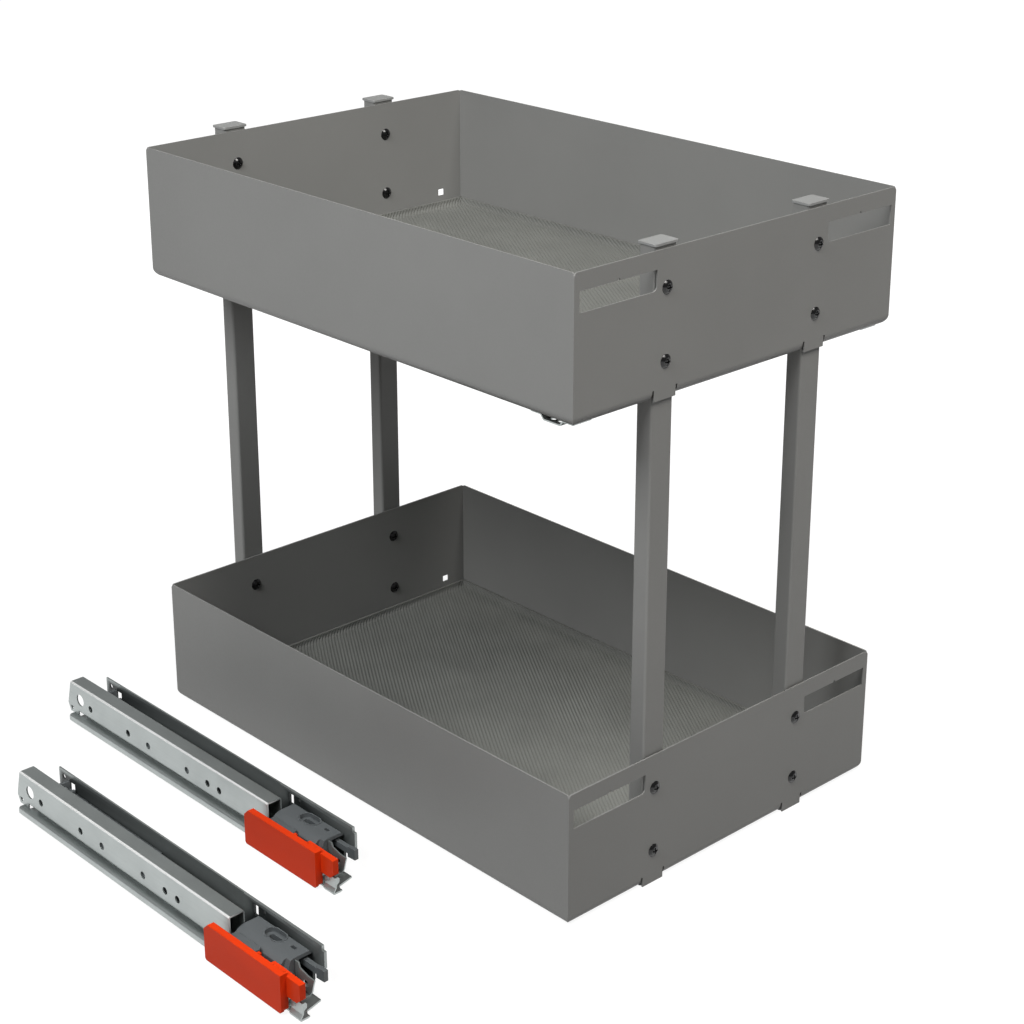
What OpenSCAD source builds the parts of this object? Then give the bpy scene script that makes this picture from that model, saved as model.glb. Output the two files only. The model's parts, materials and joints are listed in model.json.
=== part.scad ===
/* [Trays] */
// Outside width of each tray, left to right
tray_w = 344; // [300:2:420]
// Outside depth of each tray, front to back
tray_l = 500; // [470:5:540]
// Height of the tray walls
tray_h = 110; // [100:2:140]
// Height from the underside of one tray to the underside of the next
tier_pitch = 392; // [300:4:460]
// Thickness of the tray steel
sheet_t = 1.2; // [1:0.1:2]
// Outside radius of the bend between wall and floor
bend_r = 8; // [6:0.5:12]
// Radius at the top corners of the walls
rim_corner_r = 3; // [1:0.5:5]

/* [Front slots] */
// Length of each slot in the front walls
slot_w = 75; // [40:1:76]
// Height of each slot
slot_h = 15.5; // [8:0.5:18]
// Distance from the side of the tray to the slot
slot_side = 5; // [5:0.5:20]
// Distance from the rim down to the slot
slot_drop = 13.5; // [11:0.5:14]
// Radius of the slot's lower inner corner
slot_corner_r = 3.5; // [1:0.5:4]
// Width of the small nick in the upper edge of the slot
nick_w = 3; // [2:0.5:5]

/* [Runner fixings in the trays] */
// Distance from the middle of the tray to the rear hook hole
hook_hole_x = 147; // [120:1:160]
// Width of the rear hook hole
hook_hole_w = 7; // [5:0.5:9]
// Height of the rear hook hole
hook_hole_h = 6; // [5:0.5:7]
// Height of the hook hole's middle above the underside
hook_hole_z = 17.5; // [16:0.5:20]
// Distance from the middle of the tray to the catch screw holes
catch_hole_x = 156; // [150:1:158]
// Distance from the front face to the first catch screw hole
catch_hole_y = 12; // [12:1:20]
// Distance between the two catch screw holes
catch_hole_gap = 32; // [28:1:40]
// Radius of the catch screw holes
catch_hole_r = 2.1; // [1.6:0.1:2.4]
// Depth that the runner brackets hang below the upper tray
runner_bracket_drop = 4.8; // [4:0.2:8]
// Width of the runner brackets
runner_bracket_w = 18; // [12:1:20]
// Thickness of the runner brackets
runner_bracket_t = 1.2; // [1:0.1:1.6]
// Radius of the rivets that hold the runner brackets
bracket_rivet_r = 1.6; // [1.2:0.1:1.8]

/* [Floor mats] */
// Thickness of the ribbed mats
mat_t = 2; // [1.5:0.25:3]
// Height of the mat's turned up edge above the underside of the tray
mat_edge_h = 9.5; // [9:0.5:14]
// Gap between the mat and the tray walls
mat_gap = 0.3; // [0.2:0.1:1]

/* [Posts] */
// Width of the posts across the front
post_w = 22; // [20:1:26]
// Depth of the posts
post_d = 15; // [14:1:20]
// Wall of the post tube
post_wall = 1.5; // [1:0.1:2]
// Outside corner radius of the post tube
post_corner_r = 2; // [1.8:0.1:3]
// Distance from the middle of the tray to the middle of each post
post_x = 81.5; // [70:0.5:81.5]
// Height of the bare tube above the upper rim
post_rise = 2.2; // [1.5:0.1:8]
// Thickness of the cap flange
cap_t = 1.8; // [1:0.1:3]
// Overhang of the top cap around the tube
cap_overhang = 1.1; // [0.5:0.1:1.1]
// Depth of the cap skirt inside the tube
cap_skirt = 10; // [6:1:14]
// Width of the relief slot on each side of the post in the bend
relief_w = 1.8; // [1:0.1:3]
// Clearance between a post and the floor cut-out behind it
post_clearance = 0.8; // [0.5:0.1:2]

/* [Screws and rivet nuts] */
// Height of the lower screw above the underside of a tray
screw_low_z = 28; // [24:1:40]
// Height of the upper screw above the underside of a tray
screw_high_z = 82; // [60:1:84]
// Radius of the domed screw head
head_r = 5.25; // [4.5:0.25:5.5]
// Height of the domed screw head
head_h = 2.6; // [1.5:0.1:3]
// Radius of the screw shank
shank_r = 2.5; // [2:0.25:2.5]
// Length of the screw shank
shank_len = 12; // [9:0.5:12]
// Clearance around the shank in the tray wall
shank_clearance = 0.25; // [0.1:0.05:0.5]
// Radius of the rivet nut barrel
nut_r = 3.5; // [3.5:0.1:4]
// Radius of the rivet nut flange
nut_flange_r = 5; // [4.8:0.1:6]
// Thickness of the rivet nut flange, which holds the post off the wall
nut_flange_t = 1; // [0.6:0.1:1.5]
// Length of the rivet nut barrel behind its flange
nut_len = 10; // [8:0.5:11]

/* [Slide placing] */
// Distance from the middle of the trays to the far slide
far_slide_x = 265; // [230:1:320]
// Distance from the front of the trays back to the far slide's front
far_slide_y = 169; // [100:1:190]
// Distance between the two slides, left to right
slides_apart_x = 115; // [80:1:160]
// Distance between the two slides, front to back
slides_apart_y = 108; // [60:1:125]

/* [Slide rails] */
// Length of the cabinet channel
channel_l = 354; // [342:1:400]
// Width of the cabinet channel
channel_w = 23; // [22:0.5:25]
// Top of the channel lips above the floor
channel_top = 8.6; // [8.6:0.1:10]
// Thickness of the channel steel
channel_t = 1.2; // [1:0.1:1.3]
// Thickness of the side bracket steel
bracket_t = 1.5; // [1.2:0.1:1.7]
// Height of the side bracket flange
flange_h = 35; // [34:1:45]
// Distance from the drawer rail's outer face to the flange
flange_u = 30; // [30:0.5:34]
// Length of the side bracket flange
flange_l = 346; // [342:1:352]
// Width of the drawer rail
drawer_rail_w = 14; // [14:0.2:15]
// Top of the drawer rail above the floor
drawer_rail_top = 38; // [37:0.5:44]
// Thickness of the drawer rail steel
drawer_rail_t = 1.2; // [1:0.1:1.3]
// Underside of the drawer rail's in-turned lips above the floor
drawer_rail_low = 12; // [11:0.2:13]
// Distance from the channel's front end to the drawer rail's front end
drawer_rail_front = 72; // [72:1:90]
// Distance from the channel's front end to the drawer rail's rear end
drawer_rail_rear = 362; // [350:1:380]
// Thickness of the middle rail steel
middle_t = 1; // [0.8:0.1:1.1]
// Distance from the drawer rail's front end to the middle rail's head
middle_setback = 14; // [10:1:30]
// Length of the middle rail
middle_l = 336; // [330:1:348]
// Running gap between parts that roll or slide past each other
run_gap = 0.3; // [0.25:0.05:0.4]

/* [Roller cages] */
// Distance that the trays pull out
travel = 340; // [300:5:340]
// Pitch of the rollers along a cage
roller_pitch = 18; // [14:1:24]
// Rollers in each row of the lower cage
lower_rollers = 6; // [4:1:6]
// Rollers in the upper cage
upper_rollers = 5; // [3:1:5]

/* [Catch and release handle] */
// Underside of the plastic catch body above the floor
catch_low = 15; // [14.6:0.2:16]
// Top of the plastic catch body above the floor
catch_top = 28; // [27.5:0.5:30]
// Length of the catch body
catch_l = 59; // [56:1:59]
// Distance from the drawer rail's outer face to the handle's outer face
handle_out = 12.5; // [12:0.5:16]
// Wall of the handle moulding
handle_wall = 2.8; // [2:0.2:3]
// Length of the handle's broad plate
handle_l = 90; // [84:1:92]
// Height of the handle's underside above the floor
handle_low = 2; // [2:0.5:4]
// Height of the handle's top above the floor
handle_top = 33; // [31:0.5:34]
// Reach of the finger tongue in front of the plate
tongue_l = 15; // [10:1:18]
// Radius of the handle's pivot pin
handle_pin_r = 1.5; // [1.2:0.1:1.5]

/* [Closing damper] */
// Length of the damper housing
damper_l = 138; // [120:1:138]
// Height of the damper housing above the side bracket's base
damper_h = 19.5; // [19:0.5:20]
// Radius of the damper cylinder
damper_r = 4; // [3.5:0.1:4]
// Turns of the closing spring
spring_turns = 22; // [14:1:24]
// Outside radius of the closing spring
spring_r = 2.1; // [1.6:0.1:2.2]
// Wire radius of the closing spring
spring_wire_r = 0.35; // [0.3:0.05:0.4]

/* [Hidden] */
$fn = 48;
// Overshoot that lets a cut pass through a face
eps = 1;
powder_grey = [0.47, 0.46, 0.44];
mat_grey = [0.40, 0.41, 0.39];
cap_grey = [0.56, 0.57, 0.60];
zinc = [0.66, 0.67, 0.66];
dark_zinc = [0.30, 0.32, 0.32];
graphite = [0.30, 0.31, 0.32];
black = [0.04, 0.04, 0.04];
orange = [0.84, 0.24, 0.11];

// Places on the trays
screw_heights = [screw_low_z, screw_high_z];
tiers = [0, tier_pitch];
sides = [-1, 1];
rivet_hole_r = bracket_rivet_r + 0.05;
front_post_y = sheet_t + nut_flange_t;
rear_post_y = tray_l + nut_flange_t;
post_top = tier_pitch + tray_h + post_rise;
cutout_half = post_w / 2 + relief_w;
cutout_depth = front_post_y + post_d + post_clearance;

// Places on a slide, measured from the drawer rail's outer face and the channel's front end
channel_left = -4.5;
channel_right = channel_left + channel_w;
channel_base = bracket_t;
fold_r = 1;
rail_centre = drawer_rail_w / 2;
roller_r = 1.4;
roller_z = channel_base + channel_t + run_gap + roller_r;
foot_z = roller_z + roller_r + run_gap + middle_t / 2;
foot_inset = 0.9;
cage_margin = 1;
lower_cage_l = lower_rollers * roller_pitch;
upper_cage_l = upper_rollers * roller_pitch;
neck_half = 2.4;
head_half = 4;
lip_l = 3.5;
lip_clearance = 1;
shoulder_z = drawer_rail_low + drawer_rail_t + lip_clearance + middle_t / 2;
top_roller_r = 2.1;
middle_head_top = drawer_rail_top - drawer_rail_t - 2 * top_roller_r - 2 * run_gap;
middle_head_y = drawer_rail_front + middle_setback;
middle_front = 4;
lower_cage_start = middle_front + middle_l - travel / 4 - lower_cage_l - cage_margin;
upper_cage_start = middle_head_y + travel / 4 + cage_margin;
middle_low_top = catch_low - 2.5;
leg_low = catch_low - 1;
leg_top = catch_top - 2;
catch_front = drawer_rail_front - 0.5 - catch_l;
catch_left = 4;
catch_right = flange_u - 2.5;
pivot_u = -5;
pivot_y = catch_front + catch_l - 5.5;
ear_t = 2;
ear_high = catch_top - 4;
lug_r = 3.2;
handle_front = -4;
tongue_low = 14.4;
tongue_drop = 1.7;
tongue_t = 5.2;
tongue_set = 5.3;
tongue_rear = 18;
cheek_top = tongue_low - 2 * run_gap;
ear_low = cheek_top + run_gap;
adjuster_u = 21.5;
adjuster_w = 4;
adjuster_low = 17;
adjuster_h = 5;
adjuster_front = -9;
adjuster_l = 32;
adjuster_stroke = 6;
screw_hole_r = 2.2;
screw_hole_z = 12;
screw_hole_ys = [37, 133];
damper_front = drawer_rail_rear - 162;
damper_u = channel_right + 0.5;
damper_w = flange_u - 0.5 - damper_u;
damper_top = bracket_t + damper_h;
damper_bore_z = bracket_t + 5.5;
spring_z = damper_top - 4;
tug_y = damper_front + damper_l - 13;

lower_roller_half = 2.6;
upper_roller_half = 3.1;
roller_inset = 3.9;
roller_tracks = [channel_left + channel_t + roller_inset, channel_right - channel_t - roller_inset];
function lower_roller_y(i) = lower_cage_start + (i + 0.5) * roller_pitch;
function upper_roller_y(i) = upper_cage_start + (i + 0.5) * roller_pitch;

// Overall box, whose bottom centre is the origin
x_low = -far_slide_x - slides_apart_x - handle_out;
x_high = tray_w / 2;
y_low = -head_h;
y_high = max(rear_post_y + post_d + cap_overhang, far_slide_y + drawer_rail_rear);
origin_shift = [-(x_low + x_high) / 2, -(y_low + y_high) / 2, 0];

// Vector helpers for folded sheet sections
function unit(v) = v / norm(v);
function left_of(v) = [-v[1], v[0]];
function turned(v, a) = [v[0] * cos(a) - v[1] * sin(a), v[0] * sin(a) + v[1] * cos(a)];
function bend(p, i, r, off) =
    let (
        a = unit(p[i] - p[i - 1]),
        b = unit(p[i + 1] - p[i]),
        way = sign(a[0] * b[1] - a[1] * b[0]),
        angle = acos(max(-1, min(1, a * b))),
        centre = p[i] - a * r * tan(angle / 2) + left_of(a) * way * r,
        start = -left_of(a) * way * (r - way * off)
    )
    [for (k = [0:4]) centre + turned(start, way * angle * k / 4)];
function sheet_side(p, r, off) =
    let (
        last = len(p) - 1,
        first_dir = unit(p[1] - p[0]),
        last_dir = unit(p[last] - p[last - 1]),
        bends = [for (i = [1:1:last - 1]) for (q = bend(p, i, r, off)) q]
    )
    concat([p[0] + left_of(first_dir) * off], bends, [p[last] + left_of(last_dir) * off]);
function reversed(list) = [for (i = [len(list) - 1:-1:0]) list[i]];

// Section of a steel sheet of thickness t folded along a centre line
module folded_sheet(path, r, t) {
    polygon(concat(sheet_side(path, r, t / 2), reversed(sheet_side(path, r, -t / 2))));
}

// Extrusions from y0 to y1, and from x0 to x1, of a section drawn upright
module along_y(y0, y1) {
    translate([0, y1, 0])
        rotate([90, 0, 0])
            linear_extrude(y1 - y0) children();
}
module along_x(x0, x1) {
    translate([x0, 0, 0])
        rotate([90, 0, 90])
            linear_extrude(x1 - x0) children();
}

// Box given by its low and high corners
module block(low, high) {
    translate(low) cube(high - low);
}

// Round bar or bore along Y
module bar_y(x, z, y0, y1, r) {
    translate([x, y1, z])
        rotate([90, 0, 0])
            cylinder(r = r, h = y1 - y0);
}
module bar_x(y, z, x0, x1, r) {
    translate([x0, y, z])
        rotate([0, 90, 0])
            cylinder(r = r, h = x1 - x0);
}

// Upright panel outline with round lower corners
module panel(w, low, high, r) {
    intersection() {
        translate([-w / 2, low]) square([w, high - low]);
        union() {
            translate([-w / 2, low + r]) square([w, high - low]);
            translate([-w / 2 + r, low]) square([w - 2 * r, r * 2]);
            for (s = sides) translate([s * (w / 2 - r), low + r]) circle(r);
        }
    }
}

// Tray shaped body whose four floor edges are bent round
module bent_block(inset, low, high, r) {
    intersection() {
        along_y(inset, tray_l - inset) panel(tray_w - 2 * inset, low, high, r);
        along_x(-tray_w / 2 + inset, tray_w / 2 - inset)
            translate([tray_l / 2, 0]) panel(tray_l - 2 * inset, low, high, r);
    }
}

// Waste outside the round top corner of a wall that ends at the origin
module rim_corner_waste() {
    r = rim_corner_r;
    difference() {
        translate([-eps, -r]) square([r + eps, r + eps]);
        translate([r, -r]) circle(r);
    }
}

// Outline of a front slot, drawn with its inner lower corner rounded
module slot_outline() {
    nick_h = nick_w / 2;
    difference() {
        square([slot_w, slot_h]);
        difference() {
            translate([slot_w - slot_corner_r, -eps]) square([slot_corner_r + eps, slot_corner_r + eps]);
            translate([slot_w - slot_corner_r, slot_corner_r]) circle(slot_corner_r);
        }
    }
    polygon([
        [slot_w / 2 - nick_w / 2, slot_h - eps],
        [slot_w / 2 + nick_w / 2, slot_h - eps],
        [slot_w / 2 + nick_w / 4, slot_h + nick_h],
        [slot_w / 2 - nick_w / 4, slot_h + nick_h]
    ]);
}

// One folded tray with its slots, post cut-outs and holes in the floor
module tray(floor_hole_r) {
    color(powder_grey) {
        difference() {
            bent_block(0, 0, tray_h, bend_r);
            bent_block(sheet_t, sheet_t, tray_h + eps, bend_r - sheet_t);
            // Round top corners of each of the four walls
            for (s = [0, 1]) {
                mirror([s, 0, 0]) translate([-tray_w / 2, 0, tray_h]) {
                    along_y(-eps, sheet_t) rim_corner_waste();
                    along_y(tray_l - sheet_t, tray_l + eps) rim_corner_waste();
                }
                translate([0, s * tray_l, tray_h]) mirror([0, s, 0]) {
                    along_x(-tray_w / 2 - eps, -tray_w / 2 + sheet_t) rim_corner_waste();
                    along_x(tray_w / 2 - sheet_t, tray_w / 2 + eps) rim_corner_waste();
                }
            }
            for (s = sides) {
                block(
                    [s * post_x - cutout_half, -eps, -eps],
                    [s * post_x + cutout_half, cutout_depth, bend_r + eps / 2]
                );
                mirror([s > 0 ? 1 : 0, 0, 0])
                    translate([-tray_w / 2 + slot_side, 0, tray_h - slot_drop - slot_h])
                        along_y(-eps, sheet_t + eps) slot_outline();
                for (z = screw_heights) {
                    bar_y(s * post_x, z, -eps, sheet_t + eps, shank_r + shank_clearance);
                    bar_y(s * post_x, z, tray_l - sheet_t - eps, tray_l + eps, shank_r + shank_clearance);
                }
                translate([s * hook_hole_x, tray_l - sheet_t / 2, hook_hole_z])
                    cube([hook_hole_w, sheet_t + 2 * eps, hook_hole_h], center = true);
                for (k = [0, 1])
                    translate([s * catch_hole_x, catch_hole_y + k * catch_hole_gap, -eps])
                        cylinder(r = floor_hole_r, h = sheet_t + 2 * eps);
            }
        }
        // Straight tongue of the front wall between the relief slots
        for (s = sides)
            block([s * post_x - post_w / 2, 0, 0], [s * post_x + post_w / 2, sheet_t, bend_r + eps]);
    }
}

// Floor mat whose edge follows the bend of the tray
module mat() {
    outer_r = bend_r - sheet_t - mat_gap;
    color(mat_grey)
        difference() {
            bent_block(sheet_t + mat_gap, sheet_t, mat_edge_h, outer_r);
            bent_block(sheet_t + mat_gap + mat_t, sheet_t + mat_t, tray_h, outer_r - mat_t);
            for (s = sides)
                block(
                    [s * post_x - cutout_half, -eps, -eps],
                    [s * post_x + cutout_half, cutout_depth, tray_h]
                );
        }
}

// Rectangle with round corners, centred
module round_rect(w, d, r) {
    square([w - 2 * r, d], center = true);
    square([w, d - 2 * r], center = true);
    for (i = sides) for (j = sides) translate([i * (w / 2 - r), j * (d / 2 - r)]) circle(r);
}

// Post tube standing with its front face at y, with rivet nut holes in that face
module post(x, y) {
    color(powder_grey)
        difference() {
            translate([x, y + post_d / 2, cap_t])
                linear_extrude(post_top - cap_t) round_rect(post_w, post_d, post_corner_r);
            translate([x, y + post_d / 2, cap_t - eps])
                linear_extrude(post_top + 2 * eps)
                    round_rect(post_w - 2 * post_wall, post_d - 2 * post_wall, post_corner_r - post_wall);
            for (base = tiers)
                for (z = screw_heights) bar_y(x, base + z, y - eps, y + post_wall + eps, nut_r + 0.05);
        }
}

// Plug that closes one end of a post, flange at z = 0 and skirt upward
module post_plug(overhang) {
    skirt_gap = 0.15;
    skirt_w = post_w - 2 * post_wall - 2 * skirt_gap;
    skirt_d = post_d - 2 * post_wall - 2 * skirt_gap;
    skirt_wall = 1.2;
    skirt_r = 0.8;
    linear_extrude(cap_t) round_rect(post_w + 2 * overhang, post_d + 2 * overhang, post_corner_r);
    difference() {
        linear_extrude(cap_t + cap_skirt) round_rect(skirt_w, skirt_d, skirt_r);
        translate([0, 0, cap_t])
            linear_extrude(cap_skirt + eps)
                round_rect(skirt_w - 2 * skirt_wall, skirt_d - 2 * skirt_wall, skirt_r / 2);
    }
}

module at_posts() {
    for (x = sides) for (y = [front_post_y, rear_post_y])
        translate([x * post_x, y + post_d / 2, 0]) children();
}

module post_top_caps() {
    color(cap_grey)
        at_posts() translate([0, 0, post_top + cap_t]) mirror([0, 0, 1]) post_plug(cap_overhang);
}

module post_foot_caps() {
    color(graphite) at_posts() post_plug(0);
}

// Domed cross-recess screw, head toward the front and its underside at y = 0
module screw() {
    dome_r = (head_r * head_r + head_h * head_h) / (2 * head_h);
    recess_w = 1.1;
    recess_l = 5.2;
    recess_d = 1.6;
    color(black)
        difference() {
            union() {
                intersection() {
                    translate([0, dome_r - head_h, 0]) sphere(dome_r);
                    bar_y(0, 0, -head_h, 0, head_r);
                }
                bar_y(0, 0, -head_h / 2, shank_len, shank_r);
            }
            for (a = [0, 90])
                rotate([0, a, 0])
                    translate([-recess_l / 2, -head_h - eps, -recess_w / 2])
                        cube([recess_l, recess_d + eps, recess_w]);
        }
}

// Rivet nut with its flange starting at y = 0
module rivet_nut() {
    thread_gap = 0.05;
    color(zinc)
        difference() {
            union() {
                bar_y(0, 0, 0, nut_flange_t, nut_flange_r);
                bar_y(0, 0, 0, nut_flange_t + nut_len, nut_r);
            }
            bar_y(0, 0, -eps, nut_flange_t + nut_len + eps, shank_r + thread_gap);
        }
}

module at_screws(y) {
    for (base = tiers) for (z = screw_heights) for (s = sides)
        translate([s * post_x, y, base + z]) children();
}

// Hat shaped bracket under each front corner of the upper tray
module runner_brackets() {
    t = runner_bracket_t;
    high = -t / 2;
    low = -runner_bracket_drop + t / 2;
    rise = 3;
    y0 = catch_hole_y - 5;
    y1 = catch_hole_y + catch_hole_gap + 5;
    hat = [
        [y0, high], [catch_hole_y + 5, high], [catch_hole_y + 5 + rise, low],
        [y1 - 10 - rise, low], [y1 - 10, high], [y1, high]
    ];
    window_r = 2.4;
    color(zinc)
        for (s = sides)
            translate([s * catch_hole_x, 0, tier_pitch])
                mirror([s > 0 ? 1 : 0, 0, 0]) difference() {
                    along_x(-runner_bracket_w / 2, runner_bracket_w / 2) folded_sheet(hat, fold_r, t);
                    for (k = [0, 1])
                        translate([0, catch_hole_y + k * catch_hole_gap, -runner_bracket_drop - eps])
                            cylinder(r = rivet_hole_r, h = runner_bracket_drop + 2 * eps);
                    for (k = sides)
                        translate([-3, (y0 + y1) / 2 + k * 3.5, -runner_bracket_drop - eps])
                            cylinder(r = window_r, h = runner_bracket_drop);
                }
}

// Rivets that hold the runner brackets, flush with the tray floor
module runner_bracket_rivets() {
    head_t = 1;
    rivet_head_r = 2 * bracket_rivet_r;
    color(zinc)
        for (s = sides) for (k = [0, 1])
            translate([s * catch_hole_x, catch_hole_y + k * catch_hole_gap, tier_pitch]) {
                translate([0, 0, -runner_bracket_t])
                    cylinder(r = bracket_rivet_r, h = runner_bracket_t + sheet_t);
                translate([0, 0, -runner_bracket_t - head_t]) cylinder(r = rivet_head_r, h = head_t);
            }
}

// Folded channel that stays in the cabinet
module cabinet_channel() {
    t = channel_t;
    lip = 5;
    channel_fold_r = 1.6;
    low = channel_base + t / 2;
    high = channel_top - t / 2;
    left = channel_left + t / 2;
    right = channel_right - t / 2;
    section = [
        [left + lip, high], [left, high], [left, low],
        [right, low], [right, high], [right - lip, high]
    ];
    color(zinc) along_y(0, channel_l) folded_sheet(section, channel_fold_r, t);
}

// Angle that carries the channel and screws to the cabinet side, with a flared cheek at its nose
module side_bracket() {
    t = bracket_t;
    doubler_t = 0.8;
    doubler_l = 94;
    step_h = 4;
    step_l = 2.5;
    open_l = 14;
    open_h = flange_h / 2;
    nose_right = 19;
    nose_front = -8;
    cheek_foot = -7.2;
    cheek_front = -17.7;
    cheek_rear = handle_front - 1.2;
    cheek_t = 1.2;
    cheek_turn = 4.1;
    foot_clear = foot_z + middle_t / 2 + run_gap + 0.1;
    section = [[2, t / 2], [flange_u + t / 2, t / 2], [flange_u + t / 2, flange_h]];
    cheek = [
        [2, t - cheek_t / 2], [cheek_foot + 0.6, t - cheek_t / 2], [channel_left + cheek_t / 2, 5],
        [channel_left + cheek_t / 2, cheek_top]
    ];
    color(dark_zinc)
        difference() {
            union() {
                along_y(0, flange_l) folded_sheet(section, fold_r, t);
                block([flange_u - doubler_t, 0, t], [flange_u + eps / 2, doubler_l, flange_h]);
                linear_extrude(t)
                    polygon([
                        [channel_left, 24], [channel_left, cheek_rear], [cheek_foot + 1.4, cheek_rear],
                        [cheek_foot + 1.4, cheek_front], [channel_left + 5, cheek_front],
                        [4, nose_front - 3.5], [nose_right, nose_front], [nose_right, 24]
                    ]);
                along_y(cheek_front, cheek_rear) folded_sheet(cheek, 0.8, cheek_t);
                along_y(cheek_front, cheek_front + cheek_t)
                    polygon([
                        [channel_left, 4], [channel_left + cheek_t, 4.8],
                        [channel_left + cheek_t + 0.3, foot_clear],
                        [channel_left + cheek_turn, foot_clear + 2],
                        [channel_left + cheek_turn, cheek_top - 1.4],
                        [channel_left + cheek_turn - 1.4, cheek_top], [channel_left, cheek_top]
                    ]);
            }
            // Open corner below the front of the flange
            block([nose_right, -eps, -eps], [flange_u + t + eps, open_l, open_h]);
            block(
                [flange_u - doubler_t - eps, -eps, flange_h - step_h],
                [flange_u + t + eps, step_l, flange_h + eps]
            );
            for (y = screw_hole_ys)
                bar_x(y, screw_hole_z, flange_u - doubler_t - eps, flange_u + t + eps, screw_hole_r);
            // Punched openings near the rear end
            bar_x(flange_l - 7, flange_h - 6, flange_u - eps, flange_u + t + eps, screw_hole_r);
            along_x(flange_u - eps, flange_u + t + eps) {
                translate([flange_l, flange_h]) polygon([[-4, -12], [-12, -12], [-6, -17]]);
                translate([flange_l - 23, flange_h - 15]) square([7.5, 8]);
            }
            // Upright slots near the front end
            along_x(flange_u - doubler_t - eps, flange_u + t + eps) {
                translate([doubler_l - 17.5, flange_h - 12.5]) square([5.8, 9.5]);
                translate([doubler_l - 26.4, flange_h - 8]) square([2.8, 5]);
            }
            bar_x(-9, 9.5, channel_left - eps, channel_left + cheek_t + eps, 1.3);
        }
}

// Rivets that join the channel to the side bracket
module channel_rivets() {
    rivet_r = 2;
    head_t = 0.5;
    color(zinc)
        for (y = [60, channel_l / 2 - 60, channel_l - 40])
            translate([rail_centre, y, channel_base + channel_t]) {
                cylinder(r = rivet_r, h = head_t);
            }
}

// Middle rail with feet in the channel and a wide head inside the drawer rail
module middle_rail() {
    t = middle_t;
    left_foot = channel_left + channel_t + foot_inset;
    right_foot = channel_right - channel_t - foot_inset;
    neck = neck_half - t / 2;
    head = head_half - t / 2;
    top = middle_head_top - t / 2;
    c = rail_centre;
    section = [
        [left_foot, foot_z], [c - neck, foot_z], [c - neck, shoulder_z], [c - head, shoulder_z],
        [c - head, top], [c + head, top],
        [c + head, shoulder_z], [c + neck, shoulder_z], [c + neck, foot_z], [right_foot, foot_z]
    ];
    left_low = [[left_foot, foot_z], [c - neck, foot_z], [c - neck, middle_low_top]];
    right_low = [[c + neck, middle_low_top], [c + neck, foot_z], [right_foot, foot_z]];
    middle_fold_r = 0.75;
    color(zinc) {
        along_y(middle_head_y, middle_front + middle_l) folded_sheet(section, middle_fold_r, t);
        along_y(middle_front, middle_head_y + eps) folded_sheet(left_low, middle_fold_r, t);
        along_y(middle_front, middle_head_y + eps) folded_sheet(right_low, middle_fold_r, t);
    }
}

// Inverted U that hooks under the tray, with the leg that carries the catch and ends in a joggled eye
module drawer_rail() {
    t = drawer_rail_t;
    w = drawer_rail_w;
    rear_chamfer = 6;
    tail_l = 16;
    tail_low = channel_top + run_gap;
    hole_z = 22;
    section = [
        [lip_l + t / 2, drawer_rail_low + t / 2], [t / 2, drawer_rail_low + t / 2],
        [t / 2, drawer_rail_top - t / 2], [w - t / 2, drawer_rail_top - t / 2],
        [w - t / 2, drawer_rail_low + t / 2], [w - t / 2 - lip_l, drawer_rail_low + t / 2]
    ];
    eye_front = -13.6;
    eye_shift = 3.2;
    leg_u = w - t / 2;
    joggle = [[leg_u, 16], [leg_u, 8.5], [leg_u - eye_shift, 3], [leg_u - eye_shift, eye_front]];
    color(zinc)
        difference() {
            union() {
                along_y(drawer_rail_front, drawer_rail_rear) folded_sheet(section, fold_r, t);
                // Tail of the outer leg that drops to the channel at the rear
                block([0, drawer_rail_rear - tail_l, tail_low], [t, drawer_rail_rear, drawer_rail_low + 4]);
                // Leg that reaches forward into the catch and its joggled front end
                block([w - t, 15, leg_low], [w, drawer_rail_front + eps, leg_top]);
                intersection() {
                    linear_extrude(drawer_rail_top) folded_sheet(joggle, 1.2, t);
                    along_x(0, w + eps)
                        polygon([
                            [17, leg_low], [1, leg_low], [-3, 11], [-8, 9.5], [-10.5, 12.5],
                            [eye_front + 1.4, 19], [eye_front, 23.4], [-6, 23.8], [3, leg_top], [17, leg_top]
                        ]);
                }
                // Tug tab that meets the closing catch
                block([w - t, tug_y, damper_top + 3.4], [damper_u + 6, tug_y + 4, damper_top + 3.4 + t]);
            }
            // Slanted rear end
            along_x(-eps, w + eps) {
                polygon([
                    [drawer_rail_rear - rear_chamfer, drawer_rail_top + eps],
                    [drawer_rail_rear + eps, drawer_rail_top + eps],
                    [drawer_rail_rear + eps, 16], [drawer_rail_rear, 16]
                ]);
                polygon([
                    [drawer_rail_rear - 4, tail_low - eps], [drawer_rail_rear + eps, tail_low - eps],
                    [drawer_rail_rear + eps, 16], [drawer_rail_rear, 16]
                ]);
            }
            // Triangular notch in the tail
            along_x(-eps, t + eps)
                polygon([
                    [drawer_rail_rear - 3.5, 14.5], [drawer_rail_rear - 9, 14.5],
                    [drawer_rail_rear - 6, tail_low + 1.5]
                ]);
            // Large locating hole and the row of small ones
            bar_x(drawer_rail_rear - 20, hole_z + 2.5, -eps, t + eps, 5.4);
            for (d = [36, 94, 124, 180, 209, 225]) bar_x(drawer_rail_rear - d, hole_z, -eps, t + eps, 3);
            // Open corner of the inner leg at the rear
            block(
                [w - lip_l - eps, drawer_rail_rear - 14, drawer_rail_low - eps],
                [w + eps, drawer_rail_rear + eps, drawer_rail_top - 4]
            );
            bar_x(-3.7, 16.8, 8, w, 2.7);
            bar_x(catch_front + 20, catch_low + 6, w - t - eps, w + eps, handle_pin_r + 0.05);
        }
}

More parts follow.
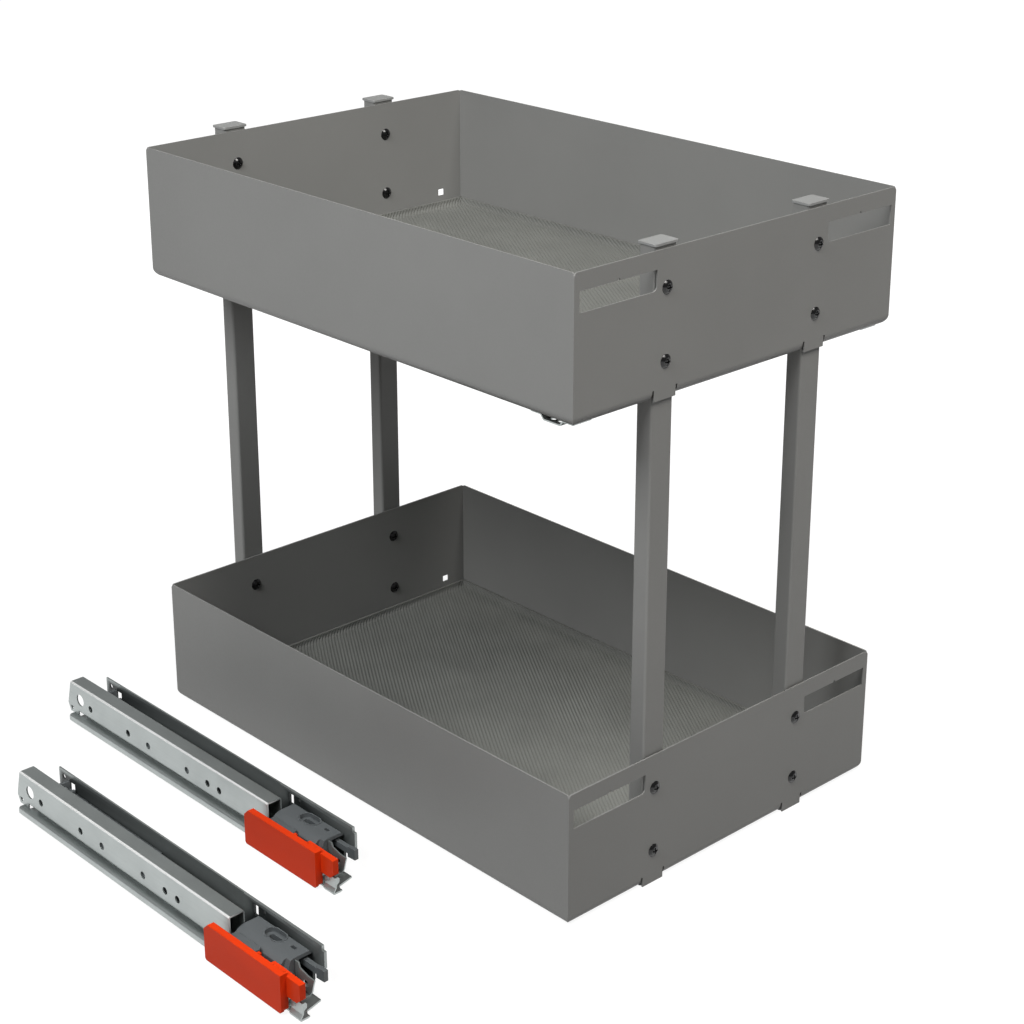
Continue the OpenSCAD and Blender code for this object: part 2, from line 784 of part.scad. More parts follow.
// Nylon strip that spaces the lower rollers
module lower_cage() {
    left = channel_left + channel_t + 0.6;
    right = channel_right - channel_t - 0.6;
    strip_t = 0.8;
    color(graphite)
        difference() {
            block(
                [left, lower_cage_start, roller_z - strip_t / 2],
                [right, lower_cage_start + lower_cage_l, roller_z + strip_t / 2]
            );
            for (i = [0:lower_rollers - 1])
                for (u = roller_tracks)
                    block(
                        [u - lower_roller_half - run_gap, lower_roller_y(i) - roller_r - run_gap, 0],
                        [u + lower_roller_half + run_gap, lower_roller_y(i) + roller_r + run_gap, channel_top]
                    );
        }
}

module lower_rollers() {
    color(zinc)
        for (i = [0:lower_rollers - 1]) for (u = roller_tracks)
            bar_x(lower_roller_y(i), roller_z, u - lower_roller_half, u + lower_roller_half, roller_r);
}

// Nylon saddle over the middle rail's head
module upper_cage() {
    wall = 1.2;
    plate_t = 1;
    side = head_half + run_gap + wall / 2;
    top = middle_head_top + run_gap + top_roller_r;
    roof_reach = drawer_rail_top - middle_head_top;
    window_w = 2 * (upper_roller_half + run_gap);
    window_l = 2 * (top_roller_r + run_gap);
    section = [
        [rail_centre - side, shoulder_z + 3], [rail_centre - side, top],
        [rail_centre + side, top], [rail_centre + side, shoulder_z + 3]
    ];
    color(graphite)
        difference() {
            along_y(upper_cage_start, upper_cage_start + upper_cage_l) folded_sheet(section, fold_r, plate_t);
            for (i = [0:upper_rollers - 1])
                translate([rail_centre, upper_roller_y(i), middle_head_top + roof_reach / 2])
                    cube([window_w, window_l, roof_reach], center = true);
        }
}

module upper_rollers() {
    color(zinc)
        for (i = [0:upper_rollers - 1])
            bar_x(
                upper_roller_y(i), middle_head_top + run_gap + top_roller_r,
                rail_centre - upper_roller_half, rail_centre + upper_roller_half, top_roller_r
            );
}

// Moulded catch that clips over the drawer rail's leg
module catch_body() {
    rear = catch_front + catch_l;
    roof_t = 3;
    slot_u = 20.2;
    slot_y = catch_front + 31.5;
    slot_half = 4.2;
    slot_r = 2.3;
    sunk_r = 5.4;
    rim_r = 6.4;
    rim_h = 0.6;
    section = [
        [catch_left, catch_low], [catch_right, catch_low], [catch_right, catch_top - 1.6],
        [catch_right - 1.6, catch_top], [catch_left + 8, catch_top], [catch_left + 3, catch_top - 1.7],
        [catch_left, catch_top - 4.5]
    ];
    color(graphite)
        difference() {
            union() {
                along_y(catch_front, rear) polygon(section);
                for (y = [slot_y - slot_half, slot_y + slot_half])
                    translate([slot_u, y, catch_top - eps]) cylinder(r = rim_r, h = rim_h + eps);
                block(
                    [slot_u, slot_y - slot_half, catch_top - eps],
                    [slot_u + rim_r, slot_y + slot_half, catch_top + rim_h]
                );
                // Ears of the handle pivot
                for (z = [ear_low, ear_high]) {
                    block([pivot_u, pivot_y - lug_r, z], [catch_left + eps, pivot_y + lug_r, z + ear_t]);
                    translate([pivot_u, pivot_y, z]) cylinder(r = lug_r, h = ear_t);
                }
                translate([catch_left, pivot_y - lug_r, ear_low])
                    cube([3, 2 * lug_r, catch_low + eps - ear_low]);
            }
            // Hollow under the roof at the front, where the adjuster comes out
            block(
                [drawer_rail_w + 2.5, catch_front - eps, catch_low - eps],
                [catch_right + eps, catch_front + 9, catch_top - roof_t]
            );
            along_y(catch_front - eps, catch_front + 5)
                translate([catch_left, catch_top])
                    polygon([[-eps, eps], [-eps, -7], [3, -7], [6, eps]]);
            // Screw slot with a sunk rim
            for (y = [slot_y - slot_half, slot_y + slot_half]) {
                translate([slot_u, y, 0]) cylinder(r = slot_r, h = catch_top + rim_h + eps);
                translate([slot_u, y, catch_top - roof_t]) cylinder(r = sunk_r, h = roof_t + rim_h + eps);
            }
            block(
                [slot_u - slot_r, slot_y - slot_half, 0],
                [slot_u + slot_r, slot_y + slot_half, catch_top + rim_h + eps]
            );
            block(
                [slot_u - sunk_r, slot_y - slot_half, catch_top - roof_t],
                [slot_u + sunk_r, slot_y + slot_half, catch_top + rim_h + eps]
            );
            // Small slot in the roof
            translate([slot_u - 1.3, catch_front + 8, catch_low + 2])
                cube([2.6, 5, catch_top + eps - catch_low]);
            // Slot that the drawer rail's leg clips into
            block(
                [drawer_rail_w - drawer_rail_t - run_gap, catch_front - eps, catch_low - eps],
                [drawer_rail_w + run_gap, rear + eps, leg_top + run_gap]
            );
            // Guide for the height adjuster
            block(
                [adjuster_u - run_gap, catch_front - eps, adjuster_low - run_gap],
                [
                    adjuster_u + adjuster_w + run_gap, adjuster_front + adjuster_l + adjuster_stroke + 2,
                    adjuster_low + adjuster_h + run_gap
                ]
            );
            for (z = [ear_low, ear_high])
                translate([pivot_u, pivot_y, z - eps]) cylinder(r = handle_pin_r + 0.05, h = ear_t + 2 * eps);
            bar_x(catch_front + 20, catch_low + 6, 8, 18, handle_pin_r + 0.05);
        }
}

// Latch plate on the upper ear beside the handle, round at its front end
module latch_plate() {
    left = pivot_u + 1;
    plate_t = 1.8;
    r = 3.8;
    color(graphite)
        translate([0, 0, ear_high + ear_t]) {
            block([left, catch_front + 29, 0], [left + 2 * r, catch_front + 54, plate_t]);
            translate([left + r, catch_front + 29, 0]) cylinder(r = r, h = plate_t);
        }
}

// Cross pin that keeps the catch on the leg
module catch_pins() {
    color(zinc) bar_x(catch_front + 20, catch_low + 6, 8, 18, handle_pin_r);
}

// Orange release handle with its top lip, tongue, rib and pivot lug
module release_handle() {
    out = -handle_out;
    inner = out + handle_wall;
    rear = handle_front + handle_l;
    chamfer = 5;
    lip_u = -6.8;
    lip_t = 2.4;
    rib_t = 3;
    block_u = -5.8;
    lug_low = ear_low + ear_t + run_gap;
    lug_high = ear_high - run_gap;
    plate = [
        [handle_front, handle_low + 1.5], [handle_front + 1.5, handle_low], [rear - 1.5, handle_low],
        [rear, handle_low + 1.5], [rear, handle_top - chamfer], [rear - chamfer, handle_top],
        [handle_front, handle_top]
    ];
    lip = [
        [handle_front, handle_top - lip_t], [rear - chamfer, handle_top - lip_t],
        [rear - chamfer, handle_top], [handle_front, handle_top]
    ];
    tip = handle_front - tongue_l;
    tongue_top = handle_top - tongue_drop;
    tongue = [
        [tip, tongue_low + 3.6], [tip + 4, tongue_low], [tongue_rear, tongue_low],
        [tongue_rear, tongue_top - 2], [tongue_rear - 3, tongue_top], [tip, tongue_top - 1]
    ];
    color(orange)
        difference() {
            union() {
                along_x(out, inner) polygon(plate);
                along_x(out, lip_u) polygon(lip);
                block([out, handle_front, handle_low + 2.2], [block_u, handle_front + 2.4, handle_top]);
                along_x(out + tongue_set, out + tongue_set + tongue_t) polygon(tongue);
                block([inner - eps, 30, tongue_low], [-2.6, 30 + rib_t, handle_top - lip_t]);
                block([inner - eps, pivot_y - lug_r, lug_low], [pivot_u, pivot_y + lug_r, lug_high]);
                translate([pivot_u, pivot_y, lug_low]) cylinder(r = lug_r, h = lug_high - lug_low);
            }
            translate([pivot_u, pivot_y, 0]) cylinder(r = handle_pin_r + 0.05, h = handle_top - lip_t);
            // Relief over the pivot ears
            block(
                [inner, pivot_y - lug_r - 2, ear_high - run_gap],
                [0, pivot_y + lug_r + 2, handle_top - lip_t]
            );
        }
}

module handle_pin() {
    color(zinc)
        translate([pivot_u, pivot_y, ear_low]) cylinder(r = handle_pin_r, h = ear_high + ear_t - ear_low);
}

// Sliding height adjuster with its thumb tab
module height_adjuster() {
    u = adjuster_u;
    w = adjuster_w;
    y = adjuster_front;
    z = adjuster_low;
    tab_l = 9;
    color(graphite) {
        block([u, y + tab_l - eps, z], [u + w, y + adjuster_l, z + adjuster_h]);
        along_x(u + 0.2, u + w - 0.2)
            translate([y, z])
                polygon([
                    [0, -2.6], [tab_l, -3.2], [tab_l, adjuster_h + 0.6],
                    [2, adjuster_h + 1.4], [0, adjuster_h + 1]
                ]);
    }
}

// Trough that holds the damper and the closing spring
module damper_housing() {
    u = damper_u;
    w = damper_w;
    groove_half = spring_r + 0.5;
    rear = damper_front + damper_l;
    color(graphite)
        difference() {
            block([u, damper_front, bracket_t], [u + w, rear, damper_top]);
            bar_y(u + w / 2, damper_bore_z, damper_front + 4, rear + eps, damper_r + 0.1);
            block(
                [u + w / 2 - groove_half, damper_front + 4, spring_z - groove_half],
                [u + w / 2 + groove_half, rear - 3, damper_top + eps]
            );
        }
}

module damper_cylinder() {
    rear = damper_front + damper_l - 1;
    color(zinc) bar_y(damper_u + damper_w / 2, damper_bore_z, damper_front + 40, rear, damper_r);
}

module damper_rod() {
    color(zinc)
        bar_y(damper_u + damper_w / 2, damper_bore_z, damper_front + 4, damper_front + 40, 1.2);
}

// Helical closing spring, swept as one closed tube
module closing_spring() {
    mean_r = spring_r - spring_wire_r;
    y0 = damper_front + 6;
    y1 = tug_y - 4;
    steps = 8;
    faces = 6;
    rings = spring_turns * steps;
    pitch = (y1 - y0) / spring_turns;
    u = damper_u + damper_w / 2;
    points = [
        for (i = [0:rings]) let (
            a = 360 * i / steps,
            y = y0 + pitch * i / steps
        )
        for (k = [0:faces - 1]) let (
            b = 360 * k / faces,
            r = mean_r + spring_wire_r * cos(b)
        )
        [u + r * cos(a), y + spring_wire_r * sin(b), spring_z + r * sin(a)]
    ];
    centres = [
        for (i = [0:rings])
        [u + mean_r * cos(360 * i / steps), y0 + pitch * i / steps, spring_z + mean_r * sin(360 * i / steps)]
    ];
    near_turn = [
        for (i = [0:steps])
        for (j = [i + steps / 2:min(rings, i + 2 * steps)])
        norm(centres[j] - centres[i])
    ];
    echo(closing_spring_least_gap = min(near_turn) - 2 * spring_wire_r);
    walls = [
        for (i = [0:rings - 1]) for (k = [0:faces - 1]) let (
            n = (k + 1) % faces,
            p = i * faces + k,
            q = i * faces + n
        )
        each [[p, q, p + faces], [q, q + faces, p + faces]]
    ];
    start_face = [[0, 2, 1], [0, 3, 2], [0, 4, 3], [0, 5, 4]];
    e = rings * faces;
    end_face = [[e, e + 1, e + 2], [e, e + 2, e + 3], [e, e + 3, e + 4], [e, e + 4, e + 5]];
    color(zinc) polyhedron(points, concat(walls, start_face, end_face), convexity = 10);
}

// Catch that the tug tab pulls against, with its front prong tipped low
module closing_catch() {
    u = damper_u;
    w = damper_w;
    mid = u + w / 2;
    leg_half = spring_r;
    color(graphite) {
        block([u, tug_y - 4, damper_top], [u + w, tug_y + 10, damper_top + 1.4]);
        block([u, tug_y - 4, damper_top + 1.4], [u + w, tug_y - 1, damper_top + 2.8]);
        block([u, tug_y + 4 + run_gap, damper_top + 1.4], [u + w, tug_y + 7, damper_top + 8]);
        block([mid - leg_half, tug_y - 3.5, spring_z - spring_r], [mid + leg_half, tug_y, damper_top]);
    }
}

// Frames of the two slides
module organizer() {
    translate(origin_shift) children();
}
module far_slide() {
    translate(origin_shift + [-far_slide_x, far_slide_y, 0]) children();
}
module near_slide() {
    translate(origin_shift + [-far_slide_x - slides_apart_x, far_slide_y - slides_apart_y, 0]) children();
}

organizer() translate([0, 0, tier_pitch]) tray(rivet_hole_r);  // upper_tray
organizer() tray(catch_hole_r);  // lower_tray
organizer() translate([0, 0, tier_pitch]) mat();  // upper_mat
organizer() mat();  // lower_mat
organizer() post(-post_x, front_post_y);  // front_left_post
organizer() post(post_x, front_post_y);  // front_right_post
organizer() post(-post_x, rear_post_y);  // rear_left_post
organizer() post(post_x, rear_post_y);  // rear_right_post
organizer() post_top_caps();
organizer() post_foot_caps();
organizer() at_screws(0) screw();  // front_screws
organizer() at_screws(tray_l - sheet_t) screw();  // rear_screws
organizer() at_screws(sheet_t) rivet_nut();  // front_rivet_nuts
organizer() at_screws(tray_l) rivet_nut();  // rear_rivet_nuts
organizer() runner_brackets();
organizer() runner_bracket_rivets();
far_slide() cabinet_channel();  // far_cabinet_channel
far_slide() side_bracket();  // far_side_bracket
far_slide() channel_rivets();  // far_channel_rivets
far_slide() middle_rail();  // far_middle_rail
far_slide() drawer_rail();  // far_drawer_rail
far_slide() lower_cage();  // far_lower_cage
far_slide() lower_rollers();  // far_lower_rollers
far_slide() upper_cage();  // far_upper_cage
far_slide() upper_rollers();  // far_upper_rollers
far_slide() catch_body();  // far_catch_body
far_slide() latch_plate();  // far_latch_plate
far_slide() catch_pins();  // far_catch_pins
far_slide() release_handle();  // far_release_handle
far_slide() handle_pin();  // far_handle_pin
far_slide() height_adjuster();  // far_height_adjuster
far_slide() damper_housing();  // far_damper_housing
far_slide() damper_cylinder();  // far_damper_cylinder
far_slide() damper_rod();  // far_damper_rod
far_slide() closing_spring();  // far_closing_spring
far_slide() closing_catch();  // far_closing_catch
near_slide() cabinet_channel();  // near_cabinet_channel
near_slide() side_bracket();  // near_side_bracket
near_slide() channel_rivets();  // near_channel_rivets
near_slide() middle_rail();  // near_middle_rail
near_slide() drawer_rail();  // near_drawer_rail
near_slide() lower_cage();  // near_lower_cage
near_slide() lower_rollers();  // near_lower_rollers
near_slide() upper_cage();  // near_upper_cage
near_slide() upper_rollers();  // near_upper_rollers
near_slide() catch_body();  // near_catch_body
near_slide() latch_plate();  // near_latch_plate
near_slide() catch_pins();  // near_catch_pins
near_slide() release_handle();  // near_release_handle
near_slide() handle_pin();  // near_handle_pin
near_slide() height_adjuster();  // near_height_adjuster
near_slide() damper_housing();  // near_damper_housing
near_slide() damper_cylinder();  // near_damper_cylinder
near_slide() damper_rod();  // near_damper_rod
near_slide() closing_spring();  // near_closing_spring
near_slide() closing_catch();  // near_closing_catch
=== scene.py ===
"""Looks of a two-tier pull-out cabinet organizer and its undermount slides."""

import json
import math

import bmesh
import bpy
from mathutils import Matrix, Vector


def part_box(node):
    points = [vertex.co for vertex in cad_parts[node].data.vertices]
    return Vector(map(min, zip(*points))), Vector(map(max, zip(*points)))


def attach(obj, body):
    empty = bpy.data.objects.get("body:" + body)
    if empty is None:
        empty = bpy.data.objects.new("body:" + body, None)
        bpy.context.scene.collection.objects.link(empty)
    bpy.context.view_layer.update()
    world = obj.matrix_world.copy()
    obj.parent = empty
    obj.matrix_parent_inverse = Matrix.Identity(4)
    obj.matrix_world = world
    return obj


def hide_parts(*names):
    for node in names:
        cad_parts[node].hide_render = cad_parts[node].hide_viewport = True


bl_info = {
    "name": "Pull-out organizer looks",
    "version": (1, 0, 0),
    "blender": (4, 5, 0),
    "location": "3D View > Sidebar > Organizer",
    "description": "Dresses a packed two-tier pull-out organizer and its slides",
    "category": "Object",
}

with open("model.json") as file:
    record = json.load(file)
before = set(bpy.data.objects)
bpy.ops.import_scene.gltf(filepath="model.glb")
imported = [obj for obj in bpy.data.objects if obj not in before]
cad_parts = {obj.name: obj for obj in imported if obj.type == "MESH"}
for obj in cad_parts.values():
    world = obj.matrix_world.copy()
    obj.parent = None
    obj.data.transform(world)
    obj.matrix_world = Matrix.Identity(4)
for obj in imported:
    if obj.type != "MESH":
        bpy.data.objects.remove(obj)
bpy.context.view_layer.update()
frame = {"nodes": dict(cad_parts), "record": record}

MM = 0.001
SIDES = ("far", "near")
TIERS = ("upper", "lower")

# Attribute, 0 to 1, that marks a painted highlight along the drawer rails' fold and the side brackets' upper
# edge, and the lighter zinc nose of the side brackets
HIGHLIGHT_AND_NOSE = "highlight_and_nose"

# Vertices closer than this are one, and a slice this close to a vertex goes through it
MERGE_MM = 0.002
# Faces that meet at less than this are one flat face
FLAT_ANGLE = math.radians(0.5)
# Edges sharper than this are rounded
SHARP_ANGLE = 30
# Edges sharper than this shade sharp on the ribbed mats
RIB_SHARP = 50
# Half width of a rib's flat top, as a share of the rib's width
RIB_CREST = 0.2
# Faces round the roll of a mat's edge
ROLL_STEPS = 5

# Radius in mm that each group's edges are rounded to
EDGE_MM = {
    "tray": 0.25,
    "cap": 0.3,
    "bracket": 0.2,
    "rail": 0.15,
    "catch": 0.35,
    "latch": 0.4,
    "adjuster": 0.5,
    "handle": 0.7,
    "housing": 0.3,
    "closing_catch": 0.2,
}

# Part of a noise's range that holds nearly all of its values
NOISE_SPAN = (0.3, 0.7)

# Studio, in metres
STUDIO_MIDDLE = (0.05, 0, 0.3)
KEY_LIGHT = {"place": (-1.5, -0.28, 1.75), "size": (1.0, 1.0), "colour": (0.98, 0.99, 1)}
FILL_LIGHT = {"place": (0.1, -1.35, 2.3), "size": (1.1, 1.0), "colour": (1, 0.975, 0.94)}
BACK_LIGHT = {"place": (1.5, 1.5, 0.9), "size": (1.2, 1.0), "target": (0, 0, 0.3)}
FLOOR_HALF = 6
FLOOR_DROP = 0.2 * MM
FLOOR_FADE = (0.4, 0.8)

# Camera fitted to the corners of the trays and the far slide in the photograph
CAMERA_AZIMUTH = math.radians(-42.985)
CAMERA_ELEVATION = math.radians(19.716)
CAMERA_DISTANCE = 1.7692
CAMERA_TARGET = Vector((0.11506, -0.01420, 0.30458))
CAMERA_SENSOR_MM = 36
CAMERA_LENS_MM = 75.641
CAMERA_SHIFT = -0.1094
CAMERA_CLIP = (0.05, 40)


def body_of_node(node):
    """Name of the CAD body that a node belongs to."""
    for body, nodes in frame["record"]["behaviour"]["bodies"].items():
        if node in nodes:
            return body
    raise RuntimeError("no body holds the node " + node)


def slot_of_node(node):
    """Record material slot of a node."""
    for row in frame["record"]["subparts"]:
        if row["node"] == node:
            return row["material_slot"]
    raise RuntimeError("no slot is given for the node " + node)


# Colours and node trees


def linear(code):
    """Linear colour of an sRGB hex code such as 7f7f7f."""
    parts = [int(code[i:i + 2], 16) / 255 for i in (0, 2, 4)]
    flat = [c / 12.92 if c <= 0.04045 else ((c + 0.055) / 1.055) ** 2.4 for c in parts]
    return (*flat, 1.0)


def add_node(tree, kind, inputs=None, **settings):
    """Adds a node with its settings, socket values and links."""
    made = tree.nodes.new(kind)
    for name, value in settings.items():
        setattr(made, name, value)
    for key, value in (inputs or {}).items():
        if isinstance(value, bpy.types.NodeSocket):
            tree.links.new(value, made.inputs[key])
        else:
            made.inputs[key].default_value = value
    return made


def start_material(name):
    """Empty node material with its output, ready for a surface."""
    material = bpy.data.materials.new(name)
    material.use_nodes = True
    tree = material.node_tree
    tree.nodes.clear()
    return material, tree


def object_place(tree, size_mm, stretch=(1, 1, 1)):
    """Object coordinates scaled so that one unit is size_mm."""
    coords = add_node(tree, "ShaderNodeTexCoord")
    scale = [s / (size_mm * MM) for s in stretch]
    return add_node(
        tree, "ShaderNodeMapping", {"Vector": coords.outputs["Object"], "Scale": scale}
    ).outputs["Vector"]


def ramp(tree, source, low, high, start=0.0, end=1.0):
    """Maps a value between start and end to the range low to high."""
    return add_node(
        tree,
        "ShaderNodeMapRange",
        {"Value": source, "From Min": start, "From Max": end, "To Min": low, "To Max": high},
    ).outputs["Result"]


def tint(tree, factor, first, second):
    """Blend of two colours by a factor."""
    return add_node(
        tree,
        "ShaderNodeMix",
        {"Factor": factor, "A": first, "B": second},
        data_type="RGBA",
    ).outputs[2]


def noise(tree, place, detail=2.0, roughness=0.5):
    """Soft noise with features of about one unit of the given place."""
    return add_node(
        tree,
        "ShaderNodeTexNoise",
        {"Vector": place, "Scale": 1.0, "Detail": detail, "Roughness": roughness},
    ).outputs["Fac"]


def spread(tree, grain, low, high):
    """Spreads a noise over the range low to high."""
    return ramp(tree, grain, low, high, *NOISE_SPAN)


def scaled(colour, share):
    """A colour made darker or lighter by a share."""
    return (*[min(1.0, c * share) for c in colour[:3]], 1.0)


def clouded(tree, grain, colour, share):
    """A colour that wanders by a share either way with a noise."""
    return tint(tree, grain, scaled(colour, 1 - share), scaled(colour, 1 + share))


def bump(tree, height, depth_mm):
    """Normal of a height between 0 and 1 that is depth_mm deep."""
    return add_node(
        tree,
        "ShaderNodeBump",
        {"Height": height, "Distance": depth_mm * MM, "Strength": 1.0},
    ).outputs["Normal"]


def surface(tree, inputs):
    """Principled surface wired to the output."""
    shader = add_node(tree, "ShaderNodeBsdfPrincipled", inputs)
    add_node(tree, "ShaderNodeOutputMaterial", {"Surface": shader.outputs["BSDF"]})


def powder_coated_steel(look):
    """Polyester powder coat on folded steel: the powder melts to a fine orange peel."""
    material, tree = start_material("powder_coated_steel")
    peel = noise(tree, object_place(tree, size_mm=1.3), detail=1.0, roughness=0.4)
    cloud = noise(tree, object_place(tree, size_mm=130), detail=3.0, roughness=0.5)
    surface(tree, {
        "Base Color": clouded(tree, spread(tree, cloud, 0, 1), look.powder_colour, 0.04),
        "Roughness": spread(tree, peel, 0.44, 0.54),
        "IOR": 1.5,
        "Normal": bump(tree, peel, depth_mm=0.02),
    })
    return material


def moulded_mat_rubber(look):
    """Matt moulded elastomer: dusty, with a fine grain from the mould."""
    material, tree = start_material("moulded_mat_rubber")
    grain = noise(tree, object_place(tree, size_mm=0.7), detail=2.0, roughness=0.6)
    cloud = noise(tree, object_place(tree, size_mm=60), detail=2.0, roughness=0.5)
    base = look.mat_colour
    surface(tree, {
        "Base Color": tint(tree, ramp(tree, cloud, 0, 1, 0.35, 0.65), scaled(base, 0.93), scaled(base, 1.06)),
        "Roughness": spread(tree, grain, 0.72, 0.86),
        "IOR": 1.5,
        "Normal": bump(tree, grain, depth_mm=0.03),
    })
    return material


def moulded_nylon(look):
    """Glass-filled nylon: dark grey with a faint fibre grain and a low sheen."""
    material, tree = start_material("moulded_nylon")
    fibre = noise(tree, object_place(tree, size_mm=0.9, stretch=(1, 0.35, 1)), detail=3.0, roughness=0.6)
    surface(tree, {
        "Base Color": clouded(tree, fibre, look.nylon_colour, 0.12),
        "Roughness": spread(tree, fibre, 0.42, 0.58),
        "IOR": 1.53,
        "Normal": bump(tree, fibre, depth_mm=0.02),
    })
    return material


def moulded_cap_plastic(look):
    """Grey moulded polyethylene: satin, with a fine grain from the mould."""
    material, tree = start_material("moulded_cap_plastic")
    grain = noise(tree, object_place(tree, size_mm=1.1), detail=2.0, roughness=0.5)
    surface(tree, {
        "Base Color": clouded(tree, grain, look.cap_colour, 0.05),
        "Roughness": spread(tree, grain, 0.38, 0.5),
        "IOR": 1.51,
        "Normal": bump(tree, grain, depth_mm=0.015),
    })
    return material


def moulded_orange_abs(look):
    """Self-coloured ABS: even orange, satin from a finely sparked mould."""
    material, tree = start_material("moulded_orange_abs")
    spark = noise(tree, object_place(tree, size_mm=0.5), detail=2.0, roughness=0.6)
    flow = noise(tree, object_place(tree, size_mm=25, stretch=(1, 0.3, 1)), detail=2.0, roughness=0.5)
    surface(tree, {
        "Base Color": clouded(tree, spread(tree, flow, 0, 1), look.handle_colour, 0.05),
        "Roughness": spread(tree, spark, 0.42, 0.54),
        "IOR": 1.54,
        "Specular IOR Level": 0.12,
        "Normal": bump(tree, spark, depth_mm=0.015),
    })
    return material


def blackened_screw_steel(look):
    """Black electrophoretic coat on a cold-headed screw: glossy, with faint unevenness."""
    material, tree = start_material("blackened_screw_steel")
    fine = noise(tree, object_place(tree, size_mm=0.8), detail=1.0, roughness=0.5)
    surface(tree, {
        "Base Color": look.screw_colour,
        "Roughness": spread(tree, fine, 0.16, 0.26),
        "IOR": 1.45,
        "Coat Weight": 0.2,
        "Coat Roughness": 0.1,
        "Normal": bump(tree, fine, depth_mm=0.01),
    })
    return material


def zinc_plated_steel(look):
    """Zinc plated strip: rolling lines along the rail, a cloudy bloom and a painted highlight along the fold.
    """
    material, tree = start_material("zinc_plated_steel")
    lines = noise(tree, object_place(tree, size_mm=1.0, stretch=(1, 0.02, 1)), detail=2.0, roughness=0.6)
    bloom = noise(tree, object_place(tree, size_mm=30), detail=2.0, roughness=0.5)
    highlight_and_nose = add_node(tree, "ShaderNodeAttribute", attribute_name=HIGHLIGHT_AND_NOSE).outputs["Fac"]
    plate = clouded(tree, spread(tree, bloom, 0, 1), look.zinc_colour, 0.05)
    # The marked fold is a painted highlight: near white and less metallic
    surface(tree, {
        "Base Color": tint(tree, highlight_and_nose, plate, look.burnished_colour),
        "Metallic": ramp(tree, highlight_and_nose, 0.85, 0.3),
        "Roughness": spread(tree, lines, 0.3, 0.42),
        "Normal": bump(tree, lines, depth_mm=0.01),
    })
    return material


def dark_passivated_steel(look):
    """Zinc nickel with a dark passivation, with a painted highlight along the upper edge and lighter zinc at
    the nose.
    """
    material, tree = start_material("dark_passivated_steel")
    lines = noise(tree, object_place(tree, size_mm=1.2, stretch=(1, 0.03, 1)), detail=2.0, roughness=0.6)
    bloom = noise(tree, object_place(tree, size_mm=22), detail=3.0, roughness=0.5)
    highlight_and_nose = add_node(tree, "ShaderNodeAttribute", attribute_name=HIGHLIGHT_AND_NOSE).outputs["Fac"]
    film = clouded(tree, spread(tree, bloom, 0, 1), look.dark_steel_colour, 0.12)
    # The upper edge is a painted highlight; the nose turns to lighter zinc
    surface(tree, {
        "Base Color": tint(tree, highlight_and_nose, film, look.zinc_colour),
        "Metallic": ramp(tree, highlight_and_nose, 0.4, 0.85),
        "Roughness": spread(tree, lines, 0.34, 0.46),
        "Normal": bump(tree, lines, depth_mm=0.01),
    })
    return material


def bright_spring_wire(look):
    """Drawn spring wire: bright steel with draw lines."""
    material, tree = start_material("bright_spring_wire")
    fine = noise(tree, object_place(tree, size_mm=0.4), detail=1.0, roughness=0.5)
    surface(tree, {
        "Base Color": look.spring_colour,
        "Metallic": 1.0,
        "Roughness": spread(tree, fine, 0.2, 0.32),
    })
    return material


MAKERS = {
    "powder_coat": powder_coated_steel,
    "mat_rubber": moulded_mat_rubber,
    "cap_plastic": moulded_cap_plastic,
    "dark_plastic": moulded_nylon,
    "orange_plastic": moulded_orange_abs,
    "black_screw": blackened_screw_steel,
    "zinc_steel": zinc_plated_steel,
    "dark_steel": dark_passivated_steel,
    "spring_steel": bright_spring_wire,
}


def finish_for(slot, look):
    """Material of a record slot, made once."""
    name = MAKERS[slot].__name__
    return bpy.data.materials.get(name) or MAKERS[slot](look)


def paint(obj, slot, look):
    """Gives an object one material."""
    obj.data.materials.clear()
    obj.data.materials.append(finish_for(slot, look))


def paint_node(name, look):
    """Gives a carried-over CAD node the finish of its slot."""
    paint(frame["nodes"][name], slot_of_node(name), look)


# Pieces


def new_piece(name, bm, slot, body, look, node, sharp):
    """Turns a bmesh into a piece with its finish, that rides on a body and stands for a CAD node."""
    mesh = bpy.data.meshes.new(name)
    for face in bm.faces:
        face.smooth = True
    bm.to_mesh(mesh)
    bm.free()
    mesh.set_sharp_from_angle(angle=math.radians(sharp))
    obj = bpy.data.objects.new(name, mesh)
    bpy.context.scene.collection.objects.link(obj)
    paint(obj, slot, look)
    even = obj.modifiers.new("even_shading", "WEIGHTED_NORMAL")
    even.keep_sharp = True
    even.weight = 100
    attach(obj, body)
    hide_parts(node)
    return obj


def dress(name, look, radius_mm=0, segments=2):
    """Merged copy of a CAD node with its sharp edges rounded, in place of the node."""
    bm = bmesh.new()
    bm.from_mesh(frame["nodes"][name].data)
    bmesh.ops.remove_doubles(bm, verts=bm.verts, dist=MERGE_MM * MM)
    bmesh.ops.dissolve_limit(
        bm, angle_limit=FLAT_ANGLE, use_dissolve_boundaries=False, verts=bm.verts, edges=bm.edges
    )
    if radius_mm:
        sharp = math.radians(SHARP_ANGLE)
        edges = [e for e in bm.edges if len(e.link_faces) == 2 and e.calc_face_angle(0) > sharp]
        bmesh.ops.bevel(
            bm,
            geom=edges,
            offset=radius_mm * MM,
            offset_type="OFFSET",
            segments=segments,
            profile=0.5,
            affect="EDGES",
            clamp_overlap=True,
            material=-1,
        )
    slot, body = slot_of_node(name), body_of_node(name)
    return new_piece(name + "_dressed", bm, slot, body, look, name, SHARP_ANGLE)


